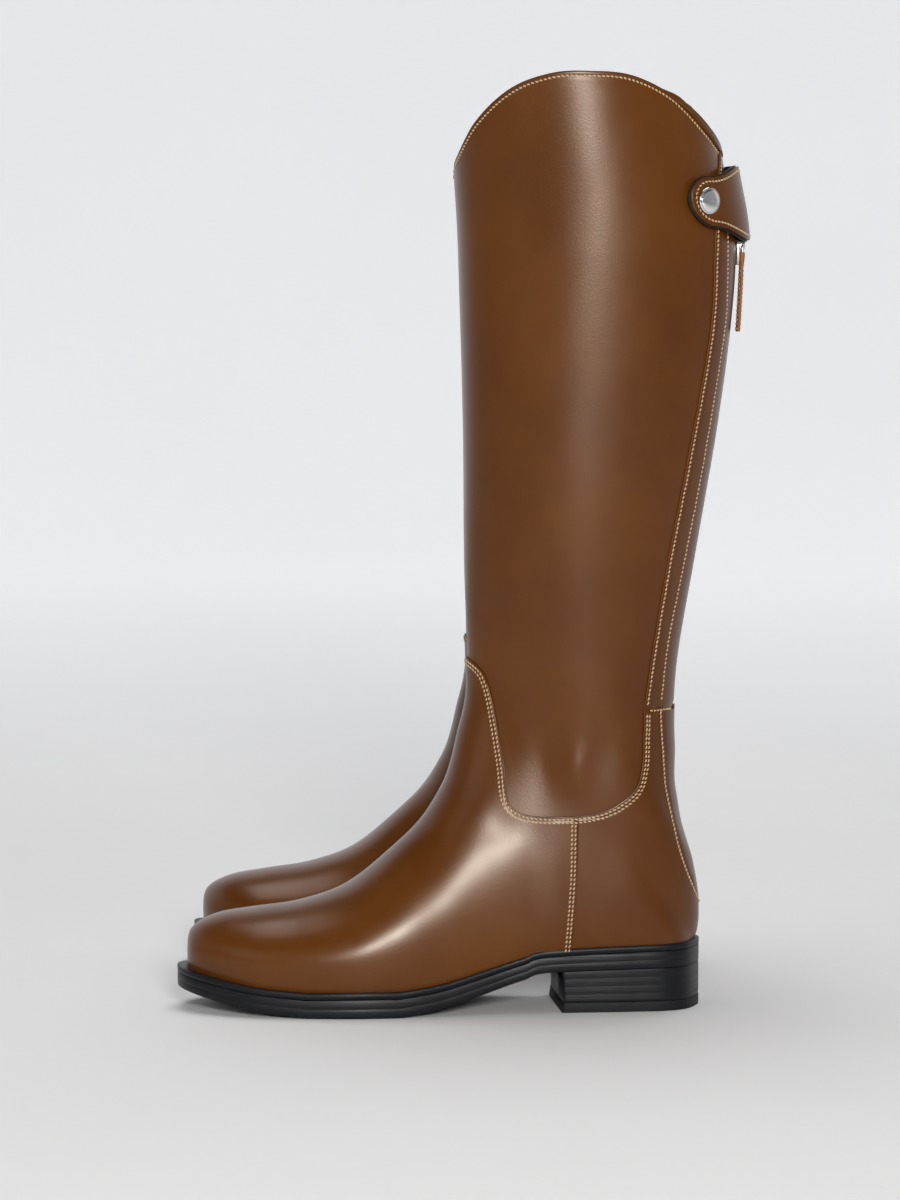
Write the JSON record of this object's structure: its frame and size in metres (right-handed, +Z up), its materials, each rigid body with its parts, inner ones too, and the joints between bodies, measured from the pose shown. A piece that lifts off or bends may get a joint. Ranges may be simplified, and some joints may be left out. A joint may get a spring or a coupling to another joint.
{
  "type": "riding boots",
  "caption": "Pair of knee-high leather riding boots with a low stacked heel, arched top line, full-length back zip and a snap strap across its top.",
  "frame": {"origin": "on the floor, midway between the two boots and midway along their overall length", "axes": "+Z up; toes point to -Y; the left boot is at +X and the right boot at -X, mirrored about the plane X = 0"},
  "size_m": [0.2764, 0.3038, 0.4951],
  "materials": {
    "brown_leather": "smooth mid-brown calf leather, fine grain, soft sheen, lighter cut edges",
    "black_backing": "matt black backing leather",
    "lining_leather": "natural tan lining leather, matt",
    "tab_leather": "tan leather pull tab, soft sheen",
    "sole_black": "black dyed sole leather, burnished satin edge",
    "heel_rubber": "black rubber top piece, matt",
    "insole_board": "pressed fibre board, matt",
    "cork": "ground cork, matt",
    "spring_steel": "blued spring steel",
    "stiffener": "resin-stiffened cotton felt",
    "zip_tape": "brown woven tape",
    "zip_metal": "nickel-plated zip",
    "snap_metal": "polished silver snap"
  },
  "bodies": {
    "left_boot": {"left_outsole": "sole_black", "left_welt": "sole_black", "left_heel_block": "sole_black", "left_heel_top_piece": "heel_rubber", "left_cork_filler": "cork", "left_shank": "spring_steel", "left_insole_board": "insole_board", "left_sock_liner": "lining_leather", "left_lining": "lining_leather", "left_toe_puff": "stiffener", "left_heel_counter": "stiffener", "left_vamp": "brown_leather", "left_quarter_lateral": "brown_leather", "left_quarter_medial": "brown_leather", "left_back_stay": "brown_leather", "left_shaft_panel": "brown_leather", "left_placket_lateral": "brown_leather", "left_placket_medial": "brown_leather", "left_zip_tape_lateral": "zip_tape", "left_zip_tape_medial": "zip_tape", "left_zip_teeth": "zip_metal", "left_zip_guard": "lining_leather", "left_snap_stud": "snap_metal"},
    "left_snap_strap": {"left_strap": "brown_leather", "left_strap_lining": "black_backing", "left_snap_cap": "snap_metal"},
    "left_slider": {"left_zip_slider": "zip_metal"},
    "left_pull": {"left_zip_pull": "zip_metal", "left_zip_pull_tab": "tab_leather"},
    "right_boot": {"right_outsole": "sole_black", "right_welt": "sole_black", "right_heel_block": "sole_black", "right_heel_top_piece": "heel_rubber", "right_cork_filler": "cork", "right_shank": "spring_steel", "right_insole_board": "insole_board", "right_sock_liner": "lining_leather", "right_lining": "lining_leather", "right_toe_puff": "stiffener", "right_heel_counter": "stiffener", "right_vamp": "brown_leather", "right_quarter_lateral": "brown_leather", "right_quarter_medial": "brown_leather", "right_back_stay": "brown_leather", "right_shaft_panel": "brown_leather", "right_placket_lateral": "brown_leather", "right_placket_medial": "brown_leather", "right_zip_tape_lateral": "zip_tape", "right_zip_tape_medial": "zip_tape", "right_zip_teeth": "zip_metal", "right_zip_guard": "lining_leather", "right_snap_stud": "snap_metal"},
    "right_snap_strap": {"right_strap": "brown_leather", "right_strap_lining": "black_backing", "right_snap_cap": "snap_metal"},
    "right_slider": {"right_zip_slider": "zip_metal"},
    "right_pull": {"right_zip_pull": "zip_metal", "right_zip_pull_tab": "tab_leather"}
  },
  "joints": [
    {"name": "right_boot_apart", "type": "slide", "parent": "left_boot", "child": "right_boot", "axis": [-1, 0, 0], "range_m": [0, 0.15]},
    {"name": "left_strap_open", "type": "hinge", "parent": "left_boot", "child": "left_snap_strap", "pos_m": [0.03463, 0.11988, 0.427], "axis": [0, 0, 1], "range_deg": [0, 105]},
    {"name": "left_zip_open", "type": "hinge", "parent": "left_boot", "child": "left_slider", "pos_m": [0.13853, -1.05238, 0.43099], "axis": [-0.9986, -0.0523, 0], "range_deg": [0, 10.25]},
    {"name": "left_pull_lift", "type": "hinge", "parent": "left_slider", "child": "left_pull", "pos_m": [0.07557, 0.149, 0.405], "axis": [0.9986, 0.0523, 0], "range_deg": [0, 75]},
    {"name": "right_strap_open", "type": "hinge", "parent": "right_boot", "child": "right_snap_strap", "pos_m": [-0.03463, 0.11988, 0.427], "axis": [0, 0, -1], "range_deg": [0, 105]},
    {"name": "right_zip_open", "type": "hinge", "parent": "right_boot", "child": "right_slider", "pos_m": [-0.13853, -1.05238, 0.43099], "axis": [-0.9986, 0.0523, 0], "range_deg": [0, 10.25]},
    {"name": "right_pull_lift", "type": "hinge", "parent": "right_slider", "child": "right_pull", "pos_m": [-0.07557, 0.149, 0.405], "axis": [0.9986, -0.0523, 0], "range_deg": [0, 75]}
  ]
}
